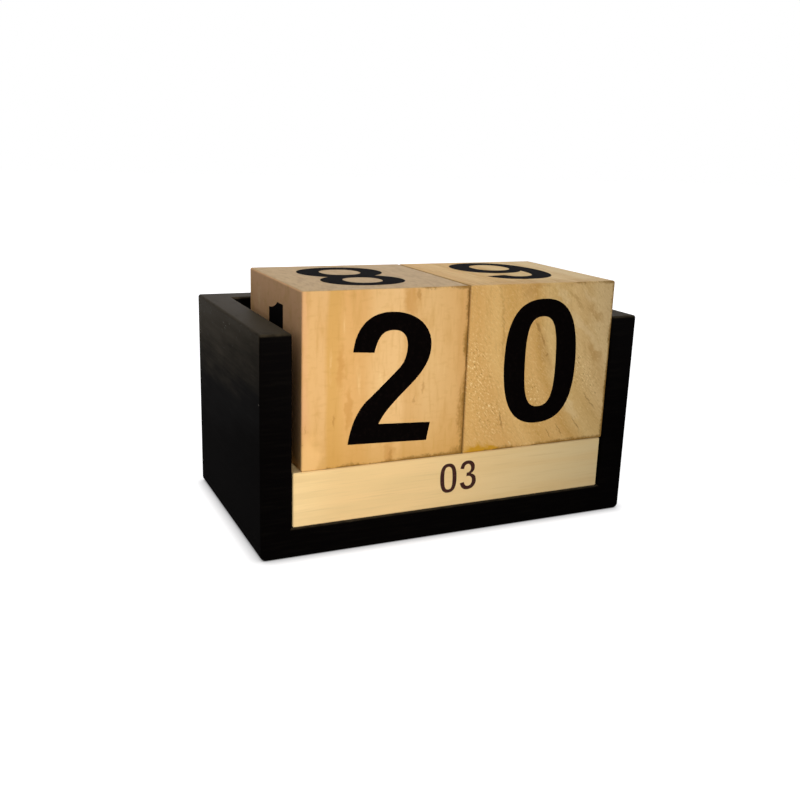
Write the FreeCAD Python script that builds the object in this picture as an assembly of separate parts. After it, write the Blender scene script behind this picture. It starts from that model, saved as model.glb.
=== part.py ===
import FreeCAD, Part
import os

# Perpetual block calendar.
#
# A tray of four painted boards, open at the front and at the top, holds three square month bars
# side by side on its base. Two number cubes stand on the bars. The boards are glued, with wooden
# dowels in blind holes, and their outer edges are eased together after the glue-up.
#
# Millimetres, +Z up. The open front faces -Y. The origin is the middle of the tray's underside.

Vector = FreeCAD.Vector

# ---- Number cubes ----------------------------------------------------------------------------
CUBE_SIZE = 50.0
CUBE_EDGE_ROUND = 0.6
CUBE_GAP = 0.2            # between the two cubes
CUBE_WALL_GAP = 0.2       # between the units cube and the right side board
CUBE_PLAY = 2.6           # between the tens cube and the left side board, to get the cubes out

# ---- Month bars ------------------------------------------------------------------------------
BAR_SIZE = 16.0           # square section: one month on each of the four long faces
BAR_EDGE_BREAK = 0.3      # the small flat that one stroke of sandpaper leaves on each edge
BAR_GAP = 0.2             # between neighbouring bars
BAR_LEFT_GAP = 0.2        # between a bar and the left side board
BAR_RIGHT_GAP = 0.8       # between a bar and the right side board
SEAT_GAP = 0.02           # under each loose piece: sawn faces bear on their high spots

# ---- Tray ------------------------------------------------------------------------------------
TRAY_HEIGHT = 64.0
SIDE_THICKNESS = 9.0
BASE_THICKNESS = 9.0
BACK_THICKNESS = 9.0
REAR_ROOM = 12.0          # free depth behind the cubes
TRAY_EDGE_ROUND = 0.8
TRAY_FOOT_ROUND = 1.6     # along the lower outer edge of each side, where the tray is set down

# ---- Dowels ----------------------------------------------------------------------------------
DOWEL_DIAMETER = 4.0
DOWEL_LENGTH = 20.0
DOWEL_CHAMFER = 0.5
DOWEL_FIT = 0.05          # glue room round the dowel, on the radius
DOWEL_END_ROOM = 0.5      # glue room past each end of the dowel
DOWEL_COVER = 2.5         # wood left between a hole and the outer face of a side board
BASE_DOWEL_INSET = 14.0   # from the front and rear edges of the base
BACK_DOWEL_INSET = 12.0   # from the lower and upper edges of the back

# ---- Sizes that follow -----------------------------------------------------------------------
BAR_NAMES = ("front_month_bar", "middle_month_bar", "rear_month_bar")

bar_pitch = BAR_SIZE + BAR_GAP
bar_row_depth = len(BAR_NAMES) * bar_pitch - BAR_GAP

hollow_width = CUBE_PLAY + 2 * CUBE_SIZE + CUBE_GAP + CUBE_WALL_GAP
hollow_depth = max(CUBE_SIZE, bar_row_depth) + REAR_ROOM
bar_length = hollow_width - BAR_LEFT_GAP - BAR_RIGHT_GAP

tray_width = hollow_width + 2 * SIDE_THICKNESS
tray_depth = hollow_depth + BACK_THICKNESS

outer_left = -tray_width / 2
outer_right = tray_width / 2
front = -tray_depth / 2
rear = tray_depth / 2

hollow_left = outer_left + SIDE_THICKNESS
hollow_right = outer_right - SIDE_THICKNESS
hollow_rear = rear - BACK_THICKNESS

bar_floor = BASE_THICKNESS + SEAT_GAP
cube_floor = bar_floor + BAR_SIZE + SEAT_GAP

dowel_in_side = SIDE_THICKNESS - DOWEL_COVER - DOWEL_END_ROOM

TOLERANCE = 1e-6
LEFT = Vector(-1, 0, 0)
RIGHT = Vector(1, 0, 0)


def block(low, high):
    """The box from its lowest to its highest corner."""
    size = Vector(*high) - Vector(*low)
    return Part.makeBox(size.x, size.y, size.z, Vector(*low))


def eased(shape, radius, edges=None):
    """The shape with its edges, or the ones given, rounded over."""
    return shape.makeFillet(radius, edges or shape.Edges)


# ---- Tray ------------------------------------------------------------------------------------
def on_outside(edge):
    """True where an edge lies on the outer faces of the tray, so that a hand can reach it."""
    middle = edge.BoundBox.Center
    to_sides = tray_width / 2 - abs(middle.x)
    to_ends = tray_depth / 2 - abs(middle.y)
    to_levels = min(middle.z, TRAY_HEIGHT - middle.z)
    return min(to_sides, to_ends, to_levels) < TOLERANCE


def along_foot(edge):
    """True where an edge runs from front to rear below the top of the rounded feet."""
    size = edge.BoundBox
    return size.YLength > hollow_depth and size.ZMax < TRAY_FOOT_ROUND + TOLERANCE


def tray_blank():
    """All four boards as one body, with every outer edge eased across the joints."""
    outside = block((outer_left, front, 0), (outer_right, rear, TRAY_HEIGHT))
    outside = eased(outside, TRAY_FOOT_ROUND, [edge for edge in outside.Edges if along_foot(edge)])
    hollow = block((hollow_left, front, BASE_THICKNESS), (hollow_right, hollow_rear, TRAY_HEIGHT))
    blank = outside.cut(hollow)
    rim = [edge for edge in blank.Edges if on_outside(edge) and not along_foot(edge)]
    return eased(blank, TRAY_EDGE_ROUND, rim)


def tray_boards():
    """The blank parted at its glue lines: full sides, with the base and the back between them."""
    blank = tray_blank()
    spaces = {
        "left_side_board": ((outer_left, front, 0), (hollow_left, rear, TRAY_HEIGHT)),
        "right_side_board": ((hollow_right, front, 0), (outer_right, rear, TRAY_HEIGHT)),
        "base_board": ((hollow_left, front, 0), (hollow_right, rear, BASE_THICKNESS)),
        "back_board": ((hollow_left, hollow_rear, BASE_THICKNESS), (hollow_right, rear, TRAY_HEIGHT)),
    }
    return {name: blank.common(block(*corners)) for name, corners in spaces.items()}


# ---- Dowels ----------------------------------------------------------------------------------
# A dowel's place is the point where it crosses the glue line and the way it points into the side
# board. Its other end is in the end of the base or of the back.
def dowel_pair(y, z):
    """The places of one dowel at the left end of a board and one at its right end."""
    return [(Vector(hollow_left, y, z), LEFT), (Vector(hollow_right, y, z), RIGHT)]


def base_dowel_places():
    """The four dowels between the base and the sides."""
    z = BASE_THICKNESS / 2
    return dowel_pair(front + BASE_DOWEL_INSET, z) + dowel_pair(rear - BASE_DOWEL_INSET, z)


def back_dowel_places():
    """The four dowels between the back and the sides."""
    y = (hollow_rear + rear) / 2
    lowest = BASE_THICKNESS + BACK_DOWEL_INSET
    highest = TRAY_HEIGHT - BACK_DOWEL_INSET
    return dowel_pair(y, lowest) + dowel_pair(y, highest)


def dowel(point, way):
    """One dowel, with its ends chamfered so that it starts easily in its holes."""
    start = point + way * dowel_in_side
    rod = Part.makeCylinder(DOWEL_DIAMETER / 2, DOWEL_LENGTH, start, -way)
    ends = [edge for edge in rod.Edges if isinstance(edge.Curve, Part.Circle)]
    return rod.makeChamfer(DOWEL_CHAMFER, ends)


def dowel_bore(point, way):
    """The hole that a dowel takes up on both sides of its glue line."""
    start = point + way * (dowel_in_side + DOWEL_END_ROOM)
    length = DOWEL_LENGTH + 2 * DOWEL_END_ROOM
    return Part.makeCylinder(DOWEL_DIAMETER / 2 + DOWEL_FIT, length, start, -way)


# ---- Loose pieces ----------------------------------------------------------------------------
def number_cube(left):
    """A number cube whose left face is at the given x, flush with the front of the tray."""
    corner = Vector(left, front, cube_floor)
    return eased(Part.makeBox(CUBE_SIZE, CUBE_SIZE, CUBE_SIZE, corner), CUBE_EDGE_ROUND)


def month_bar(place):
    """A month bar on the base: place 0 is at the front, and the others lie behind it."""
    corner = Vector(hollow_left + BAR_LEFT_GAP, front + place * bar_pitch, bar_floor)
    bar = Part.makeBox(bar_length, BAR_SIZE, BAR_SIZE, corner)
    return bar.makeChamfer(BAR_EDGE_BREAK, bar.Edges)


# ---- Assembly --------------------------------------------------------------------------------
def calendar():
    """Every node of the calendar by name."""
    dowel_groups = {"base_dowels": base_dowel_places(), "back_dowels": back_dowel_places()}
    bores = [dowel_bore(*place) for places in dowel_groups.values() for place in places]

    nodes = {name: board.cut(bores) for name, board in tray_boards().items()}
    for name, places in dowel_groups.items():
        nodes[name] = Part.Compound([dowel(*place) for place in places])

    tens_left = hollow_left + CUBE_PLAY
    nodes["tens_cube"] = number_cube(tens_left)
    nodes["units_cube"] = number_cube(tens_left + CUBE_SIZE + CUBE_GAP)
    for place, name in enumerate(BAR_NAMES):
        nodes[name] = month_bar(place)
    return nodes


os.makedirs("parts", exist_ok=True)
for node, shape in calendar().items():
    shape.exportStep(os.path.join("parts", node + ".step"))
    print(node, len(shape.Solids), "solid(s)", round(shape.Volume, 1), "mm3, valid", shape.isValid())
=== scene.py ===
"""The finish of a perpetual block calendar: paint, bare wood, printed numbers, and its studio."""

import math

import bmesh
import bpy
from mathutils import Matrix, Vector


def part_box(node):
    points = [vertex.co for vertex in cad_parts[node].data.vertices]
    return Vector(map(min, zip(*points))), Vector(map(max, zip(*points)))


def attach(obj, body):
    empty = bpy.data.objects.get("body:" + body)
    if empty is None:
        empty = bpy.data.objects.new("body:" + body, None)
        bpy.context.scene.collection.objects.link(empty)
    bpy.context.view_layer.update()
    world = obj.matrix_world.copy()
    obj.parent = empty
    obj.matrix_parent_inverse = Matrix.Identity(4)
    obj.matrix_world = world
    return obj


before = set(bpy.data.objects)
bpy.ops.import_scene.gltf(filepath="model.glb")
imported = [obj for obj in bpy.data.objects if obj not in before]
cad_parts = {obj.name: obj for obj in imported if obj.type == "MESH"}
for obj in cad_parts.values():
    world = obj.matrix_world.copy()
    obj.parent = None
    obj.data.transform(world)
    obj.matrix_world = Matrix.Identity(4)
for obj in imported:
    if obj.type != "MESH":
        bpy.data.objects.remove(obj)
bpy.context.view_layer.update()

bl_info = {
    "name": "Perpetual block calendar",
    "version": (1, 0, 0),
    "blender": (4, 5, 0),
    "location": "3D View > Sidebar > Calendar",
    "description": "Finishes the packed calendar and sets up the studio that shows it",
    "category": "Object",
}

MM = 0.001

BOARDS = ("left_side_board", "right_side_board", "base_board", "back_board")
DOWELS = ("base_dowels", "back_dowels")
BARS = ("front_month_bar", "middle_month_bar", "rear_month_bar")


# ---- Numerals --------------------------------------------------------------------------------
# Upright bold figures, in millimetres, drawn 37.5 high above their base line. Most round strokes
# go 0.3 past it and past the top.
# An outline is closed. Each step ends at its last two values: a step of two values is a straight
# line, and one of six is a curve that gives its two handles first. Ink is gone round clockwise
# and the openings in it the other way.
DRAWN_HEIGHT = 37.5
DRAWN_WIDTH = 25.4          # a figure is centred on half of this
CURVE_STEPS = 16            # straight pieces in which each curve of an outline is drawn
WELD_DISTANCE = 0.001       # drawn millimetres within which two points are one


def oval(left, right, bottom, top, fullness):
    """A closed round outline, squarer as the fullness grows. With left and right exchanged it
    runs clockwise."""
    x, z = (left + right) / 2, (bottom + top) / 2
    reach_x, reach_z = (right - left) / 2 * fullness, (top - bottom) / 2 * fullness
    return [
        (x - reach_x, top, left, z + reach_z, left, z),
        (left, z - reach_z, x - reach_x, bottom, x, bottom),
        (x + reach_x, bottom, right, z - reach_z, right, z),
        (right, z + reach_z, x + reach_x, top, x, top),
    ]


def turned_over(outlines):
    """The outlines turned half a turn about the middle of their drawing."""
    def turned(step):
        return tuple((DRAWN_HEIGHT if i % 2 else DRAWN_WIDTH) - v for i, v in enumerate(step))
    return [[turned(step) for step in outline] for outline in outlines]


ZERO = [oval(25.3, 0.1, -0.3, 37.8, 0.69), oval(7.3, 18.1, 4.9, 32.5, 0.76)]

ONE = [[
    (19.4, 37.5), (19.4, 0.0), (12.4, 0.0), (12.4, 28.6),
    (10.6, 27.6, 8.4, 27.0, 6.2, 26.8), (6.2, 35.0),
    (9.4, 35.2, 12.2, 36.0, 14.2, 37.5),
]]

TWO = [[
    (0.1, 26.3), (0.6, 33.6, 4.6, 37.5, 11.3, 37.5), (18.8, 37.5, 23.8, 33.3, 23.8, 27.6),
    (23.8, 23.2, 21.3, 19.9, 17.8, 16.4), (13.5, 12.1, 10.4, 9.0, 9.0, 5.6),
    (25.2, 5.4), (24.4, 0.0), (0.0, 0.0),
    (0.5, 5.2, 2.3, 9.9, 5.2, 12.6), (8.0, 15.2, 11.6, 18.8, 14.3, 21.6),
    (15.7, 23.1, 16.4, 25.0, 16.4, 27.6), (16.4, 30.9, 14.6, 32.4, 12.0, 32.4),
    (9.0, 32.4, 7.4, 31.2, 6.4, 26.1),
]]

THREE = [[
    (0.6, 27.4), (1.6, 34.2, 5.6, 37.8, 12.2, 37.8), (18.6, 37.8, 23.2, 33.6, 23.2, 28.2),
    (23.2, 24.4, 21.4, 21.6, 18.4, 20.2), (22.6, 18.9, 25.0, 15.6, 25.0, 10.9),
    (25.0, 4.2, 19.6, -0.3, 12.2, -0.3), (5.2, -0.3, 0.8, 3.6, 0.0, 10.2), (7.0, 11.1),
    (7.5, 7.4, 9.5, 5.3, 12.4, 5.3), (15.7, 5.3, 17.9, 7.7, 17.9, 11.2),
    (17.9, 14.6, 15.8, 16.8, 12.6, 16.8), (11.5, 16.8, 10.4, 16.7, 9.4, 16.4), (10.2, 22.3),
    (14.2, 22.2, 16.4, 24.2, 16.4, 27.3), (16.4, 30.2, 14.7, 32.2, 12.0, 32.2),
    (9.3, 32.2, 7.7, 30.2, 7.2, 26.6),
]]

FOUR = [
    [
        (14.4, 0.0), (14.4, 7.6), (-0.6, 7.6), (-0.6, 13.8), (15.3, 37.5), (21.3, 37.5),
        (21.3, 13.8), (26.0, 13.8), (26.0, 7.6), (21.3, 7.6), (21.3, 0.0),
    ],
    [(14.4, 13.8), (14.4, 26.6), (6.0, 13.8)],
]

FIVE = [[
    (0.0, 9.6), (7.2, 10.4), (7.5, 7.2, 9.6, 5.2, 12.4, 5.2), (15.9, 5.2, 18.2, 7.9, 18.2, 12.1),
    (18.2, 16.4, 16.0, 18.9, 12.4, 18.9), (10.1, 18.9, 8.4, 18.0, 7.0, 16.2), (1.2, 17.1),
    (4.9, 37.1), (23.6, 37.1), (23.6, 30.6), (10.0, 30.6), (8.9, 23.2),
    (10.5, 24.1, 12.2, 24.5, 14.0, 24.5), (20.6, 24.5, 25.4, 19.5, 25.4, 12.5),
    (25.4, 4.6, 20.2, -0.3, 12.2, -0.3), (5.2, -0.3, 0.6, 3.6, 0.0, 9.6),
]]

SEVEN = [[
    (0.2, 37.1), (25.2, 37.1), (25.2, 31.6), (17.8, 23.4, 11.8, 10.8, 11.4, 0.0), (4.5, 0.0),
    (4.9, 10.9, 9.5, 22.3, 16.8, 30.5), (0.2, 30.5),
]]

EIGHT = [
    [
        (4.9, -0.3, -0.5, 3.8, -0.5, 10.4), (-0.5, 14.4, 1.9, 17.8, 5.4, 19.6),
        (2.2, 21.4, 0.2, 24.4, 0.2, 28.0), (0.2, 33.8, 5.4, 37.8, 12.7, 37.8),
        (20.0, 37.8, 25.2, 33.8, 25.2, 28.0), (25.2, 24.4, 23.2, 21.4, 20.0, 19.6),
        (23.5, 17.8, 25.9, 14.4, 25.9, 10.4), (25.9, 3.8, 20.5, -0.3, 12.7, -0.3),
    ],
    oval(6.5, 18.9, 4.6, 16.6, 0.62),
    oval(7.0, 18.4, 22.2, 33.2, 0.62),
]

NINE = [
    [
        (0.4, 8.4), (7.4, 9.2), (7.9, 6.4, 9.4, 5.1, 11.9, 5.1),
        (16.4, 5.1, 18.6, 9.2, 18.9, 16.9), (17.2, 14.4, 14.3, 13.2, 10.9, 13.2),
        (4.0, 13.2, -0.6, 18.2, -0.6, 25.2), (-0.6, 32.8, 4.7, 37.8, 12.0, 37.8),
        (20.5, 37.8, 26.0, 31.6, 26.0, 19.6), (26.0, 6.6, 20.3, -0.3, 12.0, -0.3),
        (5.3, -0.3, 1.2, 2.8, 0.4, 8.4),
    ],
    oval(6.5, 18.9, 18.9, 32.6, 0.6),
]

FIGURES = {
    "0": ZERO, "1": ONE, "2": TWO, "3": THREE, "4": FOUR,
    "5": FIVE, "6": turned_over(NINE), "7": SEVEN, "8": EIGHT, "9": NINE,
}


# ---- Where the numbers stand -----------------------------------------------------------------
# The way to the right and the way up of each face, as its number is read.
CUBE_FACES = {
    "front": ((1, 0, 0), (0, 0, 1)),
    "right": ((0, 1, 0), (0, 0, 1)),
    "back": ((-1, 0, 0), (0, 0, 1)),
    "left": ((0, -1, 0), (0, 0, 1)),
    "top": ((1, 0, 0), (0, 1, 0)),
    "bottom": ((1, 0, 0), (0, -1, 0)),
}

# A bar is rolled about its length, so that all four months read upright when they come to the front.
BAR_FACES = {
    "front": ((1, 0, 0), (0, 0, 1)),
    "top": ((1, 0, 0), (0, 1, 0)),
    "back": ((1, 0, 0), (0, 0, -1)),
    "bottom": ((1, 0, 0), (0, -1, 0)),
}

# Cube, face, figure, millimetres right of and above the middle of the face, degrees to the left.
# The numbers were printed by hand, one face at a time, so no two stand quite alike.
CUBE_NUMBERS = (
    ("tens_cube", "front", "2", 1.9, -0.2, -2.3),
    ("tens_cube", "top", "8", -1.4, 0.8, 181.8),
    ("tens_cube", "left", "1", 1.7, 0.0, 0.0),
    ("tens_cube", "right", "0", 0.4, -0.5, 0.8),
    ("tens_cube", "back", "7", -0.6, 0.3, -1.0),
    ("tens_cube", "bottom", "4", 0.5, 0.4, 1.2),
    ("units_cube", "front", "0", -0.1, 1.4, 0.8),
    ("units_cube", "top", "9", 1.3, 3.3, 4.0),
    ("units_cube", "left", "3", -0.4, 0.2, -0.8),
    ("units_cube", "right", "2", 0.7, -0.3, 1.4),
    ("units_cube", "back", "5", 0.3, 0.8, -0.6),
    ("units_cube", "bottom", "1", -0.5, 0.3, 0.9),
)

# The months of each bar in the order in which they come to the front as it is rolled over.
BAR_MONTHS = {
    "front_month_bar": {"front": "03", "top": "04", "back": "01", "bottom": "02"},
    "middle_month_bar": {"front": "05", "top": "06", "back": "07", "bottom": "08"},
    "rear_month_bar": {"front": "09", "top": "10", "back": "11", "bottom": "12"},
}
# Every month stands alike: millimetres right of and above the middle of its face, degrees to the left.
MONTH_PLACE = (0.5, 1.0, 2.4)
MONTH_PACE = 29.0           # from one figure to the next, in drawn millimetres
MONTH_THINNED = 0.6         # taken off each side of a stroke, in drawn millimetres
MONTH_NARROWED = 0.92       # how wide a figure is, against one on a cube of the same height

INK_SOAKED = 0.02 * MM      # how far ink or charring goes into the wood
SEATED_PROUD = 0.008 * MM   # how far ink under a cube, and charring on a bar, stands proud


# ---- Colours and nodes -----------------------------------------------------------------------
def linear(hex_colour):
    """The linear red, green and blue of an sRGB colour such as "e8b874"."""
    channels = [int(hex_colour[i : i + 2], 16) / 255 for i in (0, 2, 4)]
    return tuple(c / 12.92 if c <= 0.04045 else ((c + 0.055) / 1.055) ** 2.4 for c in channels)


def new_tree(material):
    """The empty node tree of a material or a world."""
    material.use_nodes = True
    material.node_tree.nodes.clear()
    return material.node_tree


def add(tree, kind, inputs, output=0, stops=(), **settings):
    """Adds one shader node with its settings and inputs, and returns one of its outputs, if it has
    any. An input takes a value or another node's output, and the stops are the places and colours
    of a ramp."""
    node = tree.nodes.new("ShaderNode" + kind)
    for name, value in settings.items():
        setattr(node, name, value)
    for socket, value in inputs.items():
        if isinstance(value, bpy.types.NodeSocket):
            tree.links.new(value, node.inputs[socket])
        elif node.inputs[socket].type == "RGBA":
            node.inputs[socket].default_value = (*value, 1.0)
        else:
            node.inputs[socket].default_value = value
    for index, (place, colour) in enumerate(stops):
        element = node.color_ramp.elements[index] if index < 2 else node.color_ramp.elements.new(place)
        element.position = place
        element.color = (*colour, 1.0)
    return node.outputs[output] if node.outputs else None


IOR = 1.5                   # of acrylic paint, of ink and of wood fibre alike

# The sockets of a colour mix, which share their names with those of its other kinds.
SHARE, UNDER, OVER, MIXED = 0, 6, 7, 2


def millimetres(tree, corner):
    """The place in the wood or the paint, in millimetres from a corner that is given in metres. It
    moves with the piece."""
    metres = add(tree, "TexCoord", {}, output="Object")
    start = [-value / MM for value in corner]
    return add(tree, "VectorMath", {0: metres, 1: [1 / MM] * 3, 2: start}, operation="MULTIPLY_ADD")


def flecks(tree, place, sizes, detail=2.0, roughness=0.5):
    """Uneven flecks from 0 to 1. Their size along each axis is in millimetres."""
    shrunk = add(tree, "VectorMath", {0: place, 1: sizes}, operation="DIVIDE")
    inputs = {"Vector": shrunk, "Scale": 1.0, "Detail": detail, "Roughness": roughness}
    return add(tree, "TexNoise", inputs)


def lay(tree, under, over, pattern, low, high, share=1.0):
    """Lays a colour over another as a pattern goes from low to high, at most up to a share. Where low
    is above high, it lies where the pattern is weak."""
    amount = {"Value": pattern, "From Min": low, "From Max": high, "To Max": share}
    where = add(tree, "MapRange", amount, interpolation_type="SMOOTHSTEP")
    return add(tree, "Mix", {SHARE: where, UNDER: under, OVER: over}, MIXED, data_type="RGBA")


def uneven_place(tree, place, grain, reach):
    """The place put off by up to about a quarter of the reach, so that marks get ragged outlines."""
    shrunk = add(tree, "VectorMath", {0: place, 1: [grain] * 3}, operation="DIVIDE")
    wander = add(tree, "TexNoise", {"Vector": shrunk, "Scale": 1.0, "Detail": 3.0}, "Color")
    wander = add(tree, "VectorMath", {0: wander, 1: [0.5] * 3}, operation="SUBTRACT")
    return add(tree, "VectorMath", {0: wander, 1: [reach] * 3, 2: place}, operation="MULTIPLY_ADD")


# A mark fades between these shares of its half sizes.
MARK_WHOLE, MARK_GONE = 0.2, 1.2


def marks_at(tree, place, marks):
    """Where the marks are, from 0 to 1. A mark is an ellipsoid in the wood or the paint: its middle
    and its half sizes in millimetres, and the degrees by which its top leans to the right."""
    found = 0.0
    for middle, half_sizes, lean in marks:
        inputs = {
            "Vector": place, "Location": middle, "Rotation": (0.0, math.radians(lean), 0.0),
            "Scale": half_sizes,
        }
        local = add(tree, "Mapping", inputs, vector_type="TEXTURE")
        reach = add(tree, "VectorMath", {0: local}, "Value", operation="LENGTH")
        fade = {
            "Value": reach, "From Min": MARK_WHOLE, "From Max": MARK_GONE,
            "To Min": 1.0, "To Max": 0.0,
        }
        here = add(tree, "MapRange", fade, interpolation_type="SMOOTHSTEP")
        found = add(tree, "Math", {0: found, 1: here}, operation="MAXIMUM")
    return found


def finish_surface(tree, colour, roughness, relief, depth_mm, gloss):
    """Ends a material: its colour and roughness, and a relief of some depth as a bump."""
    inputs = {
        "Base Color": colour,
        "Roughness": roughness,
        "Normal": add(tree, "Bump", {"Height": relief, "Distance": depth_mm * MM}),
        "IOR": IOR,
        "Specular IOR Level": gloss,
    }
    add(tree, "OutputMaterial", {"Surface": add(tree, "BsdfPrincipled", inputs)})


# ---- Settings --------------------------------------------------------------------------------
class CalendarPrintSettings(bpy.types.PropertyGroup):
    """The printed numbers and the burnt months."""

    number_height: bpy.props.FloatProperty(
        name="Number height", description="Height of the figures on the cubes",
        default=37.5 * MM, unit="LENGTH",
    )
    ink_height: bpy.props.FloatProperty(
        name="Ink height", description="How far the printed ink stands proud of the wood",
        default=0.03 * MM, unit="LENGTH",
    )
    ink_colour: bpy.props.FloatVectorProperty(
        name="Ink", description="Colour of the printed figures",
        default=linear("060404"), size=3, subtype="COLOR", min=0.0, max=1.0,
    )
    month_height: bpy.props.FloatProperty(
        name="Month height", description="Height of the figures on the month bars",
        default=9.3 * MM, unit="LENGTH",
    )
    burn_colour: bpy.props.FloatVectorProperty(
        name="Burn", description="Colour of the wood where a month is burnt in",
        default=linear("3c2320"), size=3, subtype="COLOR", min=0.0, max=1.0,
    )


class CalendarFinishSettings(bpy.types.PropertyGroup):
    """The paint and the bare wood."""

    paint_colour: bpy.props.FloatVectorProperty(
        name="Tray paint", description="Colour of the painted tray",
        default=linear("040303"), size=3, subtype="COLOR", min=0.0, max=1.0,
    )
    # Painted sheen: the lighter warm colour that is painted on the rim and the upper sides of the tray.
    painted_sheen_colour: bpy.props.FloatVectorProperty(
        name="Paint bloom", description="Colour that handling has worn into the paint near the top",
        default=linear("3c352a"), size=3, subtype="COLOR", min=0.0, max=1.0,
    )
    # The same colour serves the torn edges and the painted shade along the cubes' edges at the gaps.
    edge_tear_and_shade_colour: bpy.props.FloatVectorProperty(
        name="Cube edges", description="Colour of the torn and rubbed edges of the cubes",
        default=linear("85601f"), size=3, subtype="COLOR", min=0.0, max=1.0,
    )
    bar_colour: bpy.props.FloatVectorProperty(
        name="Month bars", description="Colour of the planed wood of the bars",
        default=linear("f5d298"), size=3, subtype="COLOR", min=0.0, max=1.0,
    )
    dowel_colour: bpy.props.FloatVectorProperty(
        name="Dowels", description="Colour of the turned beech dowels",
        default=linear("cfa878"), size=3, subtype="COLOR", min=0.0, max=1.0,
    )


class CalendarStageSettings(bpy.types.PropertyGroup):
    """The floor and the camera."""

    floor_colour: bpy.props.FloatVectorProperty(
        name="Floor", description="Colour of the studio floor",
        default=linear("b4b4b4"), size=3, subtype="COLOR", min=0.0, max=1.0,
    )
    floor_half_width: bpy.props.FloatProperty(
        name="Floor half width", description="Distance from the calendar to the edge of the floor",
        default=3.0, unit="LENGTH",
    )
    lens: bpy.props.FloatProperty(
        name="Lens", description="Focal length of the camera, in millimetres", default=42.05,
    )
    heading: bpy.props.FloatProperty(
        name="Heading", description="How far the camera is turned to the right of straight ahead",
        default=math.radians(24.93), subtype="ANGLE", unit="ROTATION",
    )
    dip: bpy.props.FloatProperty(
        name="Dip", description="How far the camera looks down",
        default=math.radians(15.14), subtype="ANGLE", unit="ROTATION",
    )
    roll: bpy.props.FloatProperty(
        name="Roll", description="How far the camera leans to the left",
        default=math.radians(1.90), subtype="ANGLE", unit="ROTATION",
    )


# ---- Paint -----------------------------------------------------------------------------------
# The painted sheen and the polish come in over ranges of a ragged height, in millimetres. It is the
# height, raised towards the back and by the unevenness of the paint, which adds 15.5 on average.
REARWARD_RISE = 0.16        # for each millimetre towards the back
CLOUD_RISE = 22.0
STROKE_RISE = 9.0
PAINTED_SHEEN_RANGE = (54.0, 79.0)
POLISH_RANGE = (39.0, 82.0)
DUST_RANGE = (49.0, 55.0)   # of the ragged height times that of a nib, which is from 0 to 1

# Fine scratches on the left side: five near the rim, and one by the front edge.
PAINT_SCRATCHES = (
    ((-60.5, 2.4, 60.6), (1.0, 1.3, 0.22), 0.0), ((-60.5, -0.6, 60.0), (1.0, 0.9, 0.18), 0.0),
    ((-60.5, 0.9, 59.2), (1.0, 1.1, 0.16), 0.0), ((-60.5, 4.0, 58.2), (1.0, 0.6, 0.2), 0.0),
    ((-60.5, -4.6, 61.4), (1.0, 0.7, 0.2), 0.0), ((-60.5, -34.2, 45.0), (1.0, 0.6, 0.3), 0.0),
)


def brushed_black_paint(settings):
    """Matt black acrylic, brushed on sanded board: it takes in nearly all light. Hands have polished
    it towards the rim. A faint warm sheen is painted on the rim and the upper part of the sides."""
    material = bpy.data.materials.new("brushed_black_acrylic")
    tree = new_tree(material)
    place = millimetres(tree, (0, 0, 0))
    # The bristles leave strokes about 0.3 mm apart. They are drawn at 0.8 mm so that they show.
    strokes = flecks(tree, place, (12.0, 16.0, 0.8), detail=4.0, roughness=0.65)
    skin = flecks(tree, place, (3.0, 5.0, 3.0), detail=3.0)
    cloud = flecks(tree, place, (18.0, 24.0, 6.0), detail=3.0)
    nibs = flecks(tree, place, (1.2, 2.4, 0.8), detail=1.0)
    rise = {0: place, 1: (0.0, REARWARD_RISE, 1.0)}
    height = add(tree, "VectorMath", rise, "Value", operation="DOT_PRODUCT")
    normal = add(tree, "TexCoord", {}, "Normal")
    sideways = add(tree, "SeparateXYZ", {0: normal}, "X")
    on_sides = add(tree, "Math", {0: sideways}, operation="ABSOLUTE")
    on_rim = add(tree, "SeparateXYZ", {0: normal}, "Z")
    ragged = add(tree, "Math", {0: cloud, 1: CLOUD_RISE, 2: height}, operation="MULTIPLY_ADD")
    ragged = add(tree, "Math", {0: strokes, 1: STROKE_RISE, 2: ragged}, operation="MULTIPLY_ADD")
    # Where on the sides the painted sheen lies, and the real dust specks with it.
    side_sheen_and_dust = add(tree, "Math", {0: ragged, 1: on_sides}, operation="MULTIPLY")
    dusty = add(tree, "Math", {0: side_sheen_and_dust, 1: nibs}, operation="MULTIPLY")
    # Where on the rim the painted sheen lies.
    painted_light = add(tree, "Math", {0: on_rim, 1: skin}, operation="MULTIPLY")
    colour = lay(tree, settings.paint_colour, linear("0a0807"), strokes, 0.45, 0.75)
    # Painted sheen: the upper sides and the rim are painted a lighter warm colour, where the black
    # paint would catch light.
    colour = lay(tree, colour, settings.painted_sheen_colour, side_sheen_and_dust, *PAINTED_SHEEN_RANGE)
    colour = lay(tree, colour, settings.painted_sheen_colour, painted_light, 0.0, 0.46)
    colour = lay(tree, colour, linear("4a4742"), dusty, *DUST_RANGE, share=0.5)
    scratched = uneven_place(tree, place, grain=1.2, reach=1.4)
    scratches = marks_at(tree, scratched, PAINT_SCRATCHES)
    colour = lay(tree, colour, linear("7a766c"), scratches, 0.3, 1.0, share=0.6)
    dull, polished = POLISH_RANGE
    polish = {"Value": ragged, "From Min": dull, "From Max": polished, "To Min": 1.0, "To Max": 0.6}
    finish_surface(tree, colour, add(tree, "MapRange", polish), strokes, depth_mm=0.015, gloss=0.015)
    return material


# ---- Wood ------------------------------------------------------------------------------------
# All sizes are in millimetres, and places in a cube are from its lower left front corner.
RAGGED = (1.0, 1.6)         # grain and reach of the raggedness of small marks
WANDERING = (3.0, 5.0)      # the same of broad marks
LAYER_WAVER = 4.0           # how far a growth layer wavers

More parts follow.
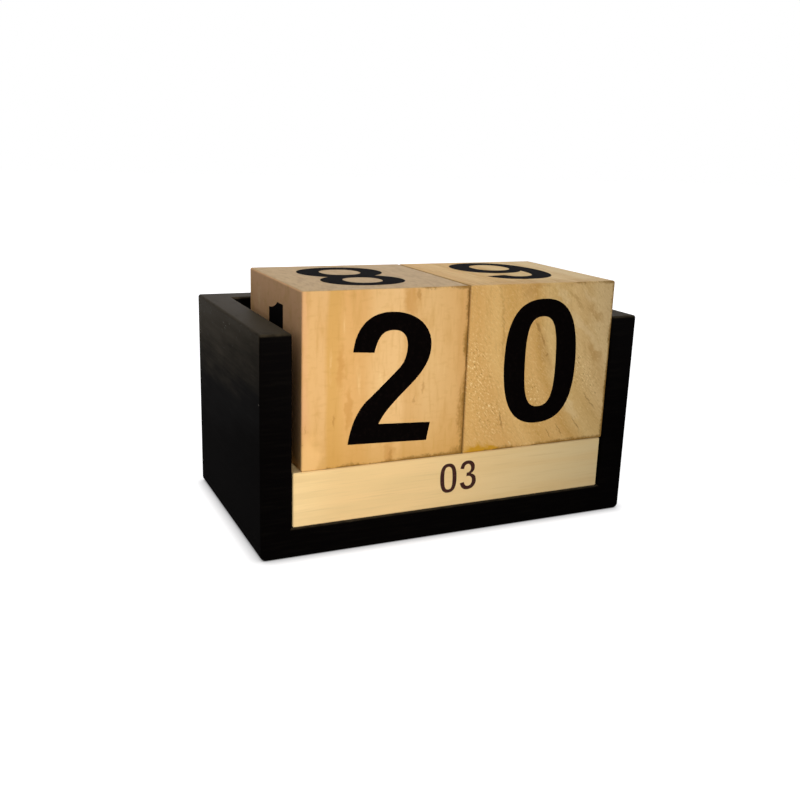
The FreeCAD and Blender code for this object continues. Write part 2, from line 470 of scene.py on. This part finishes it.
# Along the edges of a cube: how deep crumbs and slivers are torn out at most, how much of both
# together still leaves the edge whole, and how much deeper they are for each millimetre off the
# middle, because the saw tore the right edge and the lower edge most.
CRUMB_DEPTH = 2.4
SLIVER_DEPTH = 3.6
EDGE_HOLDS = 2.4
EDGE_DRAG = (0.03, 0.0, -0.024)


def round_pith(tree, place, pith, fibre):
    """The place by growth layers: millimetres out from the pith, along the fibres, and across both."""
    offset = add(tree, "VectorMath", {0: place, 1: pith}, operation="SUBTRACT")
    axes = {axis: add(tree, "SeparateXYZ", {0: offset}, axis) for axis in "XYZ"}
    along = axes.pop(fibre)
    flat = add(tree, "CombineXYZ", dict(zip("XY", axes.values())))
    out = add(tree, "VectorMath", {0: flat}, "Value", operation="LENGTH")
    return add(tree, "CombineXYZ", {"X": out, "Y": along, "Z": list(axes.values())[1]})


def growth_bands(tree, layered, start, bands):
    """The colour of each growth layer. The start is in millimetres from the pith, and a band gives
    the millimetres outward from the start and the colour there."""
    uneven = flecks(tree, layered, (12.0, 45.0, 12.0), detail=2.0)
    out = add(tree, "SeparateXYZ", {0: layered}, "X")
    out = add(tree, "Math", {0: uneven, 1: LAYER_WAVER, 2: out}, operation="MULTIPLY_ADD")
    span = bands[-1][0]
    first = start + LAYER_WAVER / 2
    reach = {"Value": out, "From Min": first, "From Max": first + span}
    stops = [(millimetre / span, linear(colour)) for millimetre, colour in bands]
    return add(tree, "ValToRGB", {"Fac": add(tree, "MapRange", reach)}, stops=stops)


def torn_edges(tree, place, size):
    """Well under 0 on the faces of a cube, and up to 1 and more along its edges, where the saw has
    torn the wood: here by a crumb, there by a whole sliver."""
    centred = add(tree, "VectorMath", {0: place, 1: [size / 2] * 3}, operation="SUBTRACT")
    off = add(tree, "VectorMath", {0: centred}, operation="ABSOLUTE")
    x, y, z = (add(tree, "SeparateXYZ", {0: off}, axis) for axis in "XYZ")
    low = add(tree, "Math", {0: x, 1: y}, operation="MINIMUM")
    high = add(tree, "Math", {0: x, 1: y}, operation="MAXIMUM")
    rest = add(tree, "Math", {0: high, 1: z}, operation="MINIMUM")
    # The second longest way from the centre is half the size just at an edge.
    to_edge = add(tree, "Math", {0: low, 1: rest}, operation="MAXIMUM")
    crumbs = flecks(tree, place, (0.9, 0.9, 0.9), detail=4.0, roughness=0.7)
    slivers = flecks(tree, place, (9.0, 9.0, 9.0), detail=2.0)
    drag = add(tree, "VectorMath", {0: centred, 1: EDGE_DRAG}, "Value", operation="DOT_PRODUCT")
    torn = add(tree, "Math", {0: crumbs, 1: CRUMB_DEPTH, 2: to_edge}, operation="MULTIPLY_ADD")
    torn = add(tree, "Math", {0: slivers, 1: SLIVER_DEPTH, 2: torn}, operation="MULTIPLY_ADD")
    torn = add(tree, "Math", {0: torn, 1: drag}, operation="ADD")
    return add(tree, "Math", {0: torn, 1: size / 2 + EDGE_HOLDS}, operation="SUBTRACT")


def torn_and_shaded_edges(tree, settings, colour, place, size, painted_light):
    """The colour of a cube with its edges gone dark: painted shade along those at a gap to another
    piece, and wear on all that the saw has torn."""
    marks = marks_at(tree, place, painted_light)
    # Painted shade along the edges at the gaps.
    colour = lay(tree, colour, settings.edge_tear_and_shade_colour, marks, 0.0, 0.8, share=0.7)
    torn = torn_edges(tree, place, size)
    return lay(tree, colour, settings.edge_tear_and_shade_colour, torn, 0.0, 1.1, share=0.85)


TENS_PITH = (-60.0, 25.0, 0.0)
TENS_START = 65.0           # from the pith to the front left edge
TENS_BANDS = (
    (0.0, "e4b07d"), (2.0, "e3b679"), (6.2, "e3b67a"), (7.4, "d8a860"), (9.5, "d8a860"),
    (12.0, "e0af6d"), (17.0, "deae6e"), (20.0, "e7bd82"), (27.5, "ebc288"), (29.0, "dfb275"),
    (36.0, "e5bc80"), (44.0, "e1b475"), (49.0, "d3a05f"),
)
# Short dark dashes in the growth layers.
TENS_DASHES = (
    ((34.0, 0.0, 48.2), (0.8, 2.0, 2.6), -6.0), ((36.2, 0.0, 21.5), (0.5, 2.0, 2.8), 4.0),
    ((33.4, 0.0, 18.0), (0.6, 2.0, 1.6), 6.0), ((1.0, 0.0, 12.0), (0.3, 1.0, 1.8), 4.0),
    ((26.6, 0.0, 1.6), (0.8, 2.0, 3.6), 0.0), ((9.2, 0.0, 14.0), (0.5, 2.0, 2.4), 0.0),
)
# Broad darker stretches of the layers.
TENS_SHADES = (
    ((31.6, 0.0, 47.0), (2.6, 3.0, 7.0), 0.0), ((13.6, 0.0, 17.0), (1.4, 2.0, 9.0), -2.0),
    ((26.4, 0.0, 3.0), (1.8, 2.0, 5.0), 0.0), ((11.0, 0.0, 29.0), (1.6, 2.0, 8.0), 0.0),
)
# The pale corner at the lower left.
TENS_LIGHTS = (
    ((2.0, 0.0, 0.0), (5.0, 3.0, 13.0), 0.0),
)
# The brown granular band beside the right edge.
TENS_BRUISES = (
    ((49.8, 0.0, 34.0), (2.2, 3.0, 9.0), 0.0), ((49.6, 0.0, 15.0), (3.4, 3.0, 16.0), 3.0),
    ((49.0, 0.0, 1.0), (6.0, 3.0, 3.0), 0.0),
)
# Painted shade along the right edges, at the top and at the front, at the gap to the units cube.
TENS_GAP_SHADE = (
    ((50.0, 25.0, 50.0), (0.45, 60.0, 0.45), 0.0), ((50.0, 0.0, 25.0), (0.26, 0.26, 60.0), 0.0),
)


def upright_pine(settings, corner, size):
    """Sanded pine with its fibres upright: soft broad bands from pale to ochre with faint blurred
    streaks and a crosswise ripple from the sander, and plain greyer end grain on its top and
    bottom."""
    material = bpy.data.materials.new("sanded_pine_upright")
    tree = new_tree(material)
    place = millimetres(tree, corner)
    ragged = uneven_place(tree, place, *RAGGED)
    wandering = uneven_place(tree, place, *WANDERING)
    layered = round_pith(tree, place, TENS_PITH, "Z")
    colour = growth_bands(tree, layered, TENS_START, TENS_BANDS)
    blotches = flecks(tree, layered, (3.2, 16.0, 8.0), detail=4.0, roughness=0.6)
    streaks = flecks(tree, layered, (1.2, 11.0, 5.0), detail=3.0, roughness=0.55)
    ripple = flecks(tree, place, (3.2, 3.2, 1.3), detail=2.0)
    grit = flecks(tree, place, (0.6, 0.6, 1.5), detail=4.0, roughness=0.8)
    colour = lay(tree, colour, linear("cf9e58"), blotches, 0.5, 0.8, share=0.75)
    colour = lay(tree, linear("f3d096"), colour, blotches, 0.14, 0.4)
    colour = lay(tree, colour, linear("c6944a"), streaks, 0.5, 0.8, share=0.4)
    colour = lay(tree, colour, linear("c7964f"), ripple, 0.5, 0.75, share=0.25)
    # The wood is a deeper ochre towards its foot.
    height = add(tree, "SeparateXYZ", {0: place}, "Z")
    colour = lay(tree, linear("d29e4c"), colour, height, -14.0, 20.0)
    shades = marks_at(tree, wandering, TENS_SHADES)
    colour = lay(tree, colour, linear("c8924a"), shades, 0.0, 1.0, share=0.55)
    dashes = marks_at(tree, ragged, TENS_DASHES)
    colour = lay(tree, colour, linear("a8742f"), dashes, 0.1, 1.0, share=0.4)
    lights = marks_at(tree, wandering, TENS_LIGHTS)
    colour = lay(tree, colour, linear("f4c684"), lights, 0.0, 0.9, share=0.75)
    bruises = marks_at(tree, ragged, TENS_BRUISES)
    bruises = add(tree, "Math", {0: bruises, 1: grit}, operation="MULTIPLY")
    colour = lay(tree, colour, linear("a0742b"), bruises, 0.2, 0.55, share=0.7)
    upward = add(tree, "SeparateXYZ", {0: add(tree, "TexCoord", {}, "Normal")}, "Z")
    on_ends = add(tree, "Math", {0: upward}, operation="ABSOLUTE")
    pores = flecks(tree, layered, (1.2, 9.0, 4.0), detail=3.0)
    end_grain = lay(tree, linear("c3a271"), linear("b39262"), pores, 0.35, 0.75)
    colour = lay(tree, colour, end_grain, on_ends, 0.75, 0.9)
    colour = torn_and_shaded_edges(tree, settings, colour, place, size, TENS_GAP_SHADE)
    finish_surface(tree, colour, 0.7, streaks, depth_mm=0.02, gloss=0.25)
    return material


UNITS_PITH = (90.0, 25.0, 47.0)
UNITS_START = 40.0          # from the pith to the right face
UNITS_BANDS = (
    (0.0, "dfc08c"), (6.0, "e4c690"), (10.0, "dab67b"), (14.0, "e5c388"), (19.0, "dab575"),
    (24.0, "e2bf80"), (28.0, "d3a65f"), (31.0, "e0b571"), (37.0, "d8aa62"), (42.0, "e5bb77"),
    (47.0, "dcad68"), (62.0, "dfb16a"),
)
# Short dark dashes in the growth layers.
UNITS_DASHES = (
    ((27.2, 0.0, 28.4), (0.6, 2.0, 0.6), 0.0), ((23.4, 0.0, 37.0), (0.7, 2.0, 2.8), -30.0),
    ((25.4, 0.0, 33.0), (0.4, 2.0, 2.8), -24.0), ((46.0, 0.0, 15.3), (0.3, 2.0, 0.9), -50.0),
    ((39.6, 0.0, 5.5), (0.3, 2.0, 4.4), -36.0), ((33.4, 0.0, 4.2), (0.25, 2.0, 3.2), -34.0),
    ((44.0, 0.0, 12.5), (0.3, 2.0, 5.2), -42.0), ((29.5, 0.0, 3.6), (0.25, 2.0, 2.6), -32.0),
    ((12.4, 0.0, 9.0), (0.4, 2.0, 5.0), -14.0),
)
# Broad darker patches, the last all along the top front edge, and broad paler ones.
UNITS_SHADES = (
    ((19.5, 0.0, 48.0), (2.6, 8.0, 4.0), -5.0), ((26.0, 0.0, 30.0), (2.4, 8.0, 9.0), -24.0),
    ((11.2, 0.0, 38.0), (0.8, 8.0, 14.0), -4.0), ((44.5, 0.0, 28.0), (2.0, 8.0, 4.4), -44.0),
    ((43.5, 0.0, 40.5), (1.1, 8.0, 5.0), -50.0), ((36.0, 0.0, 45.0), (0.9, 8.0, 6.0), -45.0),
    ((25.0, 3.0, 50.4), (42.0, 6.0, 1.8), 0.0),
)
UNITS_LIGHTS = (
    ((31.5, 0.0, 46.5), (1.4, 8.0, 5.0), -45.0), ((40.5, 0.0, 35.0), (1.4, 8.0, 12.0), -45.0),
    ((41.0, 0.0, 45.5), (1.0, 8.0, 5.0), -45.0), ((36.0, 0.0, 12.0), (1.6, 8.0, 9.0), -42.0),
)
# Where the saw has left bright chips of cut fibre.
UNITS_CHIPS = (
    ((3.0, 0.0, 24.0), (6.0, 8.0, 14.0), -10.0), ((8.0, 0.0, 11.0), (6.0, 8.0, 8.0), -30.0),
    ((23.5, 0.0, 15.0), (3.6, 8.0, 9.0), -20.0), ((40.0, 0.0, 22.0), (5.0, 8.0, 9.0), -40.0),
)
# The yellow stain at the lower left corner.
RESIN_STAIN = (
    ((4.6, 0.0, 0.4), (6.4, 3.0, 2.8), 0.0), ((11.0, 0.0, 0.2), (5.0, 2.0, 1.4), 0.0),
)
# Painted shade along the left edges, at the top and at the front, at the gap to the tens cube, and
# along the right one at the front, at the gap to the side board.
UNITS_GAP_SHADE = (
    ((0.0, 25.0, 50.0), (0.5, 60.0, 0.5), 0.0), ((0.0, 0.0, 25.0), (0.26, 0.26, 60.0), 0.0),
    ((50.0, 0.0, 20.0), (0.9, 0.9, 28.0), 0.0),
)
SAW_SLANT = 42.0            # degrees that the saw's strokes lean to the left


def end_grain_pine(settings, corner, size):
    """Sawn pine with its fibres running from front to back: the front shows curved layers under the
    slanting strokes of the saw, with bright chips of cut fibre and a stain of resin, and the top
    long faint fibres."""
    material = bpy.data.materials.new("sawn_pine_end_grain")
    tree = new_tree(material)
    place = millimetres(tree, corner)
    ragged = uneven_place(tree, place, *RAGGED)
    wandering = uneven_place(tree, place, *WANDERING)
    slant = {"Vector": place, "Angle": math.radians(SAW_SLANT)}
    slanting = add(tree, "VectorRotate", slant, rotation_type="Y_AXIS")
    layered = round_pith(tree, place, UNITS_PITH, "Y")
    colour = growth_bands(tree, layered, UNITS_START, UNITS_BANDS)
    rays = flecks(tree, layered, (0.9, 16.0, 9.0), detail=4.0, roughness=0.65)
    strokes = flecks(tree, slanting, (0.55, 14.0, 2.6), detail=4.0, roughness=0.65)
    chips = flecks(tree, slanting, (0.4, 12.0, 1.1), detail=3.0, roughness=0.65)
    clusters = flecks(tree, place, (4.0, 20.0, 5.0), detail=2.0)
    shades = marks_at(tree, wandering, UNITS_SHADES)
    colour = lay(tree, colour, linear("b98c4c"), shades, 0.0, 1.0, share=0.45)
    lights = marks_at(tree, wandering, UNITS_LIGHTS)
    colour = lay(tree, colour, linear("f0d6a4"), lights, 0.0, 1.0, share=0.4)
    colour = lay(tree, colour, linear("bd8f4c"), rays, 0.52, 0.78, share=0.4)
    colour = lay(tree, colour, linear("b08944"), strokes, 0.52, 0.76, share=0.5)
    colour = lay(tree, linear("f1d9a2"), colour, strokes, 0.24, 0.42)
    # Chips show at a share of 0.25 all over, and of up to 1 in their own places.
    chipped = marks_at(tree, place, UNITS_CHIPS)
    chipped = add(tree, "Math", {0: chipped, 1: clusters}, operation="MULTIPLY")
    chipped = add(tree, "Math", {0: chipped, 1: 1.7, 2: 0.25}, operation="MULTIPLY_ADD", use_clamp=True)
    colour = lay(tree, colour, linear("ffe6ac"), chips, 0.54, 0.66, share=chipped)
    colour = lay(tree, colour, linear("a07538"), chips, 0.44, 0.3, share=chipped)
    dashes = marks_at(tree, ragged, UNITS_DASHES)
    colour = lay(tree, colour, linear("94692f"), dashes, 0.1, 1.0, share=0.55)
    resin = marks_at(tree, wandering, RESIN_STAIN)
    colour = lay(tree, colour, linear("c8920c"), resin, 0.0, 0.9, share=0.92)
    colour = torn_and_shaded_edges(tree, settings, colour, place, size, UNITS_GAP_SHADE)
    finish_surface(tree, colour, 0.75, strokes, depth_mm=0.06, gloss=0.25)
    return material


def planed_basswood(settings, corner):
    """Planed basswood with its fibres along the bar: pale cream, very fine and nearly plain."""
    material = bpy.data.materials.new("planed_basswood")
    tree = new_tree(material)
    place = millimetres(tree, corner)
    broad = flecks(tree, place, (50.0, 4.0, 4.0), detail=2.0)
    # Basswood fibres are finer than 0.1 mm. They are drawn at 0.5 mm so that they show.
    fine = flecks(tree, place, (18.0, 0.5, 0.5), detail=3.0, roughness=0.6)
    # Painted light: the wood is painted from bright cream at its left end to a greyer shade at its
    # right end, as light that falls off to the right.
    along = add(tree, "SeparateXYZ", {0: place}, "X")
    colour = lay(tree, linear("ffe0a6"), settings.bar_colour, along, 0.0, 16.0)
    colour = lay(tree, colour, linear("ecd39f"), along, 20.0, 100.0)
    colour = lay(tree, colour, linear("eacb92"), broad, 0.35, 0.7, share=0.8)
    colour = lay(tree, colour, linear("dabc88"), fine, 0.48, 0.78, share=0.45)
    finish_surface(tree, colour, 0.62, fine, depth_mm=0.02, gloss=0.3)
    return material


def turned_beech(settings):
    """Turned beech rod: plain tan with short darker flecks along it."""
    material = bpy.data.materials.new("turned_beech")
    tree = new_tree(material)
    fleck = flecks(tree, millimetres(tree, (0, 0, 0)), (2.2, 0.3, 0.3), detail=2.0)
    colour = lay(tree, settings.dowel_colour, linear("a9794a"), fleck, 0.55, 0.7)
    finish_surface(tree, colour, 0.58, fleck, depth_mm=0.03, gloss=0.35)
    return material


# ---- Ink and burning -------------------------------------------------------------------------
def printed_ink(settings):
    """Screen-printed black ink: flat, matt and dense, a little thinner where the grain took it up."""
    material = bpy.data.materials.new("screen_printed_ink")
    tree = new_tree(material)
    film = flecks(tree, millimetres(tree, (0, 0, 0)), (0.8, 0.8, 0.8), detail=4.0, roughness=0.6)
    colour = lay(tree, settings.ink_colour, linear("100b0a"), film, 0.5, 0.75)
    finish_surface(tree, colour, 0.8, film, depth_mm=0.01, gloss=0.005)
    return material


def burnt_wood(settings):
    """Wood burnt by a laser: dark brown, matt, streaked along the fibres where they charred less."""
    material = bpy.data.materials.new("laser_burnt_wood")
    tree = new_tree(material)
    char = flecks(tree, millimetres(tree, (0, 0, 0)), (1.6, 0.3, 0.3), detail=3.0)
    colour = lay(tree, settings.burn_colour, linear("55342a"), char, 0.52, 0.72)
    finish_surface(tree, colour, 0.9, char, depth_mm=0.03, gloss=0.1)
    return material


def put_on(node_names, material):
    """Gives CAD nodes their finish."""
    for name in node_names:
        for material_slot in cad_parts[name].material_slots:
            material_slot.material = material


# ---- Drawing ---------------------------------------------------------------------------------
def draw_outline(curve, outline, shift):
    """Adds one closed outline to a curve. Straight steps get handles at their thirds."""
    ends = [Vector(step[-2:]) for step in outline]
    spline = curve.splines.new("BEZIER")
    spline.bezier_points.add(len(outline) - 1)
    spline.use_cyclic_u = True
    for index, point in enumerate(spline.bezier_points):
        step, following = outline[index], outline[(index + 1) % len(outline)]
        here, before, after = ends[index], ends[index - 1], ends[(index + 1) % len(outline)]
        handle_in = Vector(step[2:4]) if len(step) == 6 else here.lerp(before, 1 / 3)
        handle_out = Vector(following[:2]) if len(following) == 6 else here.lerp(after, 1 / 3)
        point.handle_left_type = point.handle_right_type = "FREE"
        point.co = (*(here + shift), 0.0)
        point.handle_left = (*(handle_in + shift), 0.0)
        point.handle_right = (*(handle_out + shift), 0.0)


def figure_mesh(name, text, height, thickness, pace=0.0, thinned=0.0, narrowed=1.0):
    """A closed slab in the shape of the figures, its middle at the origin, in metres. The pace from
    one figure to the next and the thinning of its strokes are in drawn millimetres."""
    curve = bpy.data.curves.new(name, "CURVE")
    curve.dimensions = "2D"
    curve.fill_mode = "BOTH"
    curve.resolution_u = CURVE_STEPS
    curve.offset = -thinned
    curve.extrude = thickness / 2 / MM
    for index, figure in enumerate(text):
        column = (index - (len(text) - 1) / 2) * pace
        for outline in FIGURES[figure]:
            draw_outline(curve, outline, Vector((column - DRAWN_WIDTH / 2, -DRAWN_HEIGHT / 2)))
    holder = bpy.data.objects.new(name, curve)
    mesh = bpy.data.meshes.new_from_object(holder)
    bpy.data.objects.remove(holder)
    bpy.data.curves.remove(curve)
    shape = bmesh.new()
    shape.from_mesh(mesh)
    bmesh.ops.remove_doubles(shape, verts=shape.verts, dist=WELD_DISTANCE)
    bmesh.ops.recalc_face_normals(shape, faces=shape.faces)
    shape.to_mesh(mesh)
    shape.free()
    scale = height / DRAWN_HEIGHT
    mesh.transform(Matrix.Diagonal((scale * narrowed, scale, MM, 1.0)))
    mesh.name = name
    return mesh


def face_frame(node_name, right, up, place, lean, lift):
    """The frame in which a number lies on a face: its middle, its way to the right and its way up."""
    low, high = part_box(node_name)
    right, up = Vector(right), Vector(up)
    out = right.cross(up)
    half = (high - low) / 2
    middle = (low + high) / 2 + Vector(way * reach for way, reach in zip(out, half))
    middle += right * place[0] * MM + up * place[1] * MM + out * lift
    axes = Matrix((right, up, out)).transposed().to_4x4()
    return Matrix.Translation(middle) @ axes @ Matrix.Rotation(math.radians(lean), 4, "Z")


def lay_figures(mesh, frame_on_face, material, body):
    """Makes a piece from a number's mesh, lays it on its face and lets it ride on its body."""
    mesh.transform(frame_on_face)
    mesh.materials.append(material)
    piece = bpy.data.objects.new(mesh.name, mesh)
    bpy.context.scene.collection.objects.link(piece)
    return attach(piece, body)


# ---- Operators -------------------------------------------------------------------------------
class CALENDAR_OT_paint_tray(bpy.types.Operator):
    """Paints the four boards of the tray"""

    bl_idname = "calendar.paint_tray"
    bl_label = "Paint tray"

    def execute(self, context):
        put_on(BOARDS, brushed_black_paint(context.scene.calendar_finish))
        return {"FINISHED"}


class CALENDAR_OT_finish_dowels(bpy.types.Operator):
    """Leaves the dowels as turned beech"""

    bl_idname = "calendar.finish_dowels"
    bl_label = "Finish dowels"

    def execute(self, context):
        put_on(DOWELS, turned_beech(context.scene.calendar_finish))
        return {"FINISHED"}


class CALENDAR_OT_finish_cubes(bpy.types.Operator):
    """Sands the two number cubes, each cut from the timber its own way"""

    bl_idname = "calendar.finish_cubes"
    bl_label = "Finish cubes"

    def execute(self, context):
        settings = context.scene.calendar_finish
        for name, wood in (("tens_cube", upright_pine), ("units_cube", end_grain_pine)):
            low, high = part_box(name)
            put_on([name], wood(settings, low, (high.x - low.x) / MM))
        return {"FINISHED"}


class CALENDAR_OT_finish_bars(bpy.types.Operator):
    """Planes the three month bars"""

    bl_idname = "calendar.finish_bars"
    bl_label = "Finish month bars"

    def execute(self, context):
        for name in BARS:
            low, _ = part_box(name)
            put_on([name], planed_basswood(context.scene.calendar_finish, low))
        return {"FINISHED"}


class CALENDAR_OT_print_numbers(bpy.types.Operator):
    """Prints a figure on each face of the two cubes"""

    bl_idname = "calendar.print_numbers"
    bl_label = "Print numbers"

    def execute(self, context):
        settings = context.scene.calendar_print
        ink = printed_ink(settings)
        for cube, face, figure, across, above, lean in CUBE_NUMBERS:
            proud = SEATED_PROUD if face == "bottom" else settings.ink_height
            name = f"{cube}_{face}_{figure}"
            mesh = figure_mesh(name, figure, settings.number_height, proud + INK_SOAKED)
            lift = (proud - INK_SOAKED) / 2
            on_face = face_frame(cube, *CUBE_FACES[face], (across, above), lean, lift)
            lay_figures(mesh, on_face, ink, cube)
        return {"FINISHED"}


class CALENDAR_OT_burn_months(bpy.types.Operator):
    """Burns the number of a month into each long face of the three bars"""

    bl_idname = "calendar.burn_months"
    bl_label = "Burn months"

    def execute(self, context):
        settings = context.scene.calendar_print
        burn = burnt_wood(settings)
        for bar, months in BAR_MONTHS.items():
            body = bar.replace("_month", "")
            for face, month in months.items():
                mesh = figure_mesh(
                    f"{bar}_{face}_{month}", month, settings.month_height, SEATED_PROUD + INK_SOAKED,
                    pace=MONTH_PACE, thinned=MONTH_THINNED, narrowed=MONTH_NARROWED,
                )
                across, above, lean = MONTH_PLACE
                lift = (SEATED_PROUD - INK_SOAKED) / 2
                on_face = face_frame(bar, *BAR_FACES[face], (across, above), lean, lift)
                lay_figures(mesh, on_face, burn, body)
        return {"FINISHED"}


class CALENDAR_OT_set_stage(bpy.types.Operator):
    """Sets up the floor, the lamps, the surrounding light and the camera"""

    bl_idname = "calendar.set_stage"
    bl_label = "Set stage"

    def execute(self, context):
        settings = context.scene.calendar_stage
        lay_floor(settings)
        surround_with_light(context.scene)
        for lamp in LAMPS:
            hang_lamp(*lamp)
        context.scene.camera = place_camera(settings)
        context.scene.view_settings.view_transform = "Standard"
        return {"FINISHED"}


# ---- Stage -----------------------------------------------------------------------------------
# Name, place and aim in millimetres, size in millimetres, watts, colour, spread in degrees. The key
# lamp stands far off and is narrowed, so that it lights a piece that is drawn out to the front hardly
# more than it does the rest.
LAMPS = (
    ("key_lamp", (-42, -2035, 226), (-42, -35, 51), 40, 0.0587, "fff7e8", 7.9),
    ("overhead_lamp", (-60, 120, 620), (0, 0, 60), 500, 1.27, "f5f5f5", 180),
    ("rear_fill_lamp", (260, 520, 260), (0, 0, 40), 400, 0.8, "f2f4ff", 180),
)
CAMERA_PLACE = (-127.1, -266.4, 112.2)   # in millimetres
CLIP_START = 10 * MM        # how near to the camera things still show
SURROUND_COLOUR = "8f9195"
FLOOR_GLOW = "f6f5f5"
CONTACT_SHADE = 4 * MM      # how far from the tray the floor's glow still fades


def background_share(tree):
    """1 for what the camera sees directly, or in a reflection or through a clear thing."""
    share = 0.0
    for ray in ("Is Camera Ray", "Is Glossy Ray", "Is Transmission Ray"):
        share = add(tree, "Math", {0: share, 1: add(tree, "LightPath", {}, ray)}, operation="MAXIMUM")
    return share


def lay_floor(settings):
    """A matt paper floor. To the camera it also glows, so that it is white, but less so close to the
    tray, which keeps its shadow there."""
    half = settings.floor_half_width
    mesh = bpy.data.meshes.new("studio_floor")
    corners = [(-half, -half, 0), (half, -half, 0), (half, half, 0), (-half, half, 0)]
    mesh.from_pydata(corners, [], [(0, 1, 2, 3)])
    floor = bpy.data.objects.new("studio_floor", mesh)
    bpy.context.scene.collection.objects.link(floor)
    material = bpy.data.materials.new("matt_studio_paper")
    tree = new_tree(material)
    tooth = flecks(tree, millimetres(tree, (0, 0, 0)), (0.6, 0.6, 0.6))
    paper = lay(tree, settings.floor_colour, linear("b0b0b0"), tooth, 0.3, 0.7)
    matt = add(tree, "BsdfDiffuse", {"Color": paper})
    open_sky = add(tree, "AmbientOcclusion", {"Distance": CONTACT_SHADE}, "AO")
    seen = add(tree, "Math", {0: background_share(tree), 1: open_sky}, operation="MULTIPLY")
    glow = add(tree, "Emission", {"Color": linear(FLOOR_GLOW), "Strength": seen})
    add(tree, "OutputMaterial", {"Surface": add(tree, "AddShader", {0: matt, 1: glow})})
    mesh.materials.append(material)


def surround_with_light(scene):
    """An even dim light from all round, in front of a white background."""
    scene.world = bpy.data.worlds.new("studio_surround")
    tree = new_tree(scene.world)
    colour = lay(tree, linear(SURROUND_COLOUR), (1.0, 1.0, 1.0), background_share(tree), 0.0, 1.0)
    add(tree, "OutputWorld", {"Surface": add(tree, "Background", {"Color": colour})})


def hang_lamp(name, place, aim, size, watts, colour, spread):
    """A square lamp that looks at its aim."""
    light = bpy.data.lights.new(name, "AREA")
    light.size = size * MM
    light.spread = math.radians(spread)
    light.energy = watts
    light.color = linear(colour)
    lamp = bpy.data.objects.new(name, light)
    lamp.location = Vector(place) * MM
    lamp.rotation_euler = (Vector(aim) - Vector(place)).to_track_quat("-Z", "Y").to_euler()
    lamp.visible_camera = False
    bpy.context.scene.collection.objects.link(lamp)


def place_camera(settings):
    """The camera, a little above the calendar and to its left."""
    data = bpy.data.cameras.new("calendar_camera")
    data.lens = settings.lens
    data.clip_start = CLIP_START
    camera = bpy.data.objects.new("calendar_camera", data)
    heading = Matrix.Rotation(-settings.heading, 4, "Z")
    dip = Matrix.Rotation(math.pi / 2 - settings.dip, 4, "X")
    roll = Matrix.Rotation(settings.roll, 4, "Z")
    camera.matrix_world = Matrix.Translation(Vector(CAMERA_PLACE) * MM) @ heading @ dip @ roll
    bpy.context.scene.collection.objects.link(camera)
    return camera


# ---- Panel -----------------------------------------------------------------------------------
OPERATORS = (
    CALENDAR_OT_set_stage,
    CALENDAR_OT_paint_tray,
    CALENDAR_OT_finish_dowels,
    CALENDAR_OT_finish_cubes,
    CALENDAR_OT_finish_bars,
    CALENDAR_OT_print_numbers,
    CALENDAR_OT_burn_months,
)
SETTINGS = {
    "calendar_stage": CalendarStageSettings,
    "calendar_finish": CalendarFinishSettings,
    "calendar_print": CalendarPrintSettings,
}


class CALENDAR_PT_making(bpy.types.Panel):
    """Lists the settings and the steps of making the calendar"""

    bl_idname = "CALENDAR_PT_making"
    bl_label = "Block calendar"
    bl_space_type = "VIEW_3D"
    bl_region_type = "UI"
    bl_category = "Calendar"

    def draw(self, context):
        for name, group in SETTINGS.items():
            box = self.layout.box()
            for value in group.__annotations__:
                box.prop(getattr(context.scene, name), value)
        for operator in OPERATORS:
            self.layout.operator(operator.bl_idname)


def register():
    for name, group in SETTINGS.items():
        bpy.utils.register_class(group)
        setattr(bpy.types.Scene, name, bpy.props.PointerProperty(type=group))
    for item in (*OPERATORS, CALENDAR_PT_making):
        bpy.utils.register_class(item)


def unregister():
    for item in reversed((*OPERATORS, CALENDAR_PT_making)):
        bpy.utils.unregister_class(item)
    for name, group in SETTINGS.items():
        delattr(bpy.types.Scene, name)
        bpy.utils.unregister_class(group)


def main():
    """Makes the whole calendar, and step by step."""
    register()
    for operator in OPERATORS:
        section, name = operator.bl_idname.split(".")
        getattr(getattr(bpy.ops, section), name)()


if __name__ == "__main__":
    main()
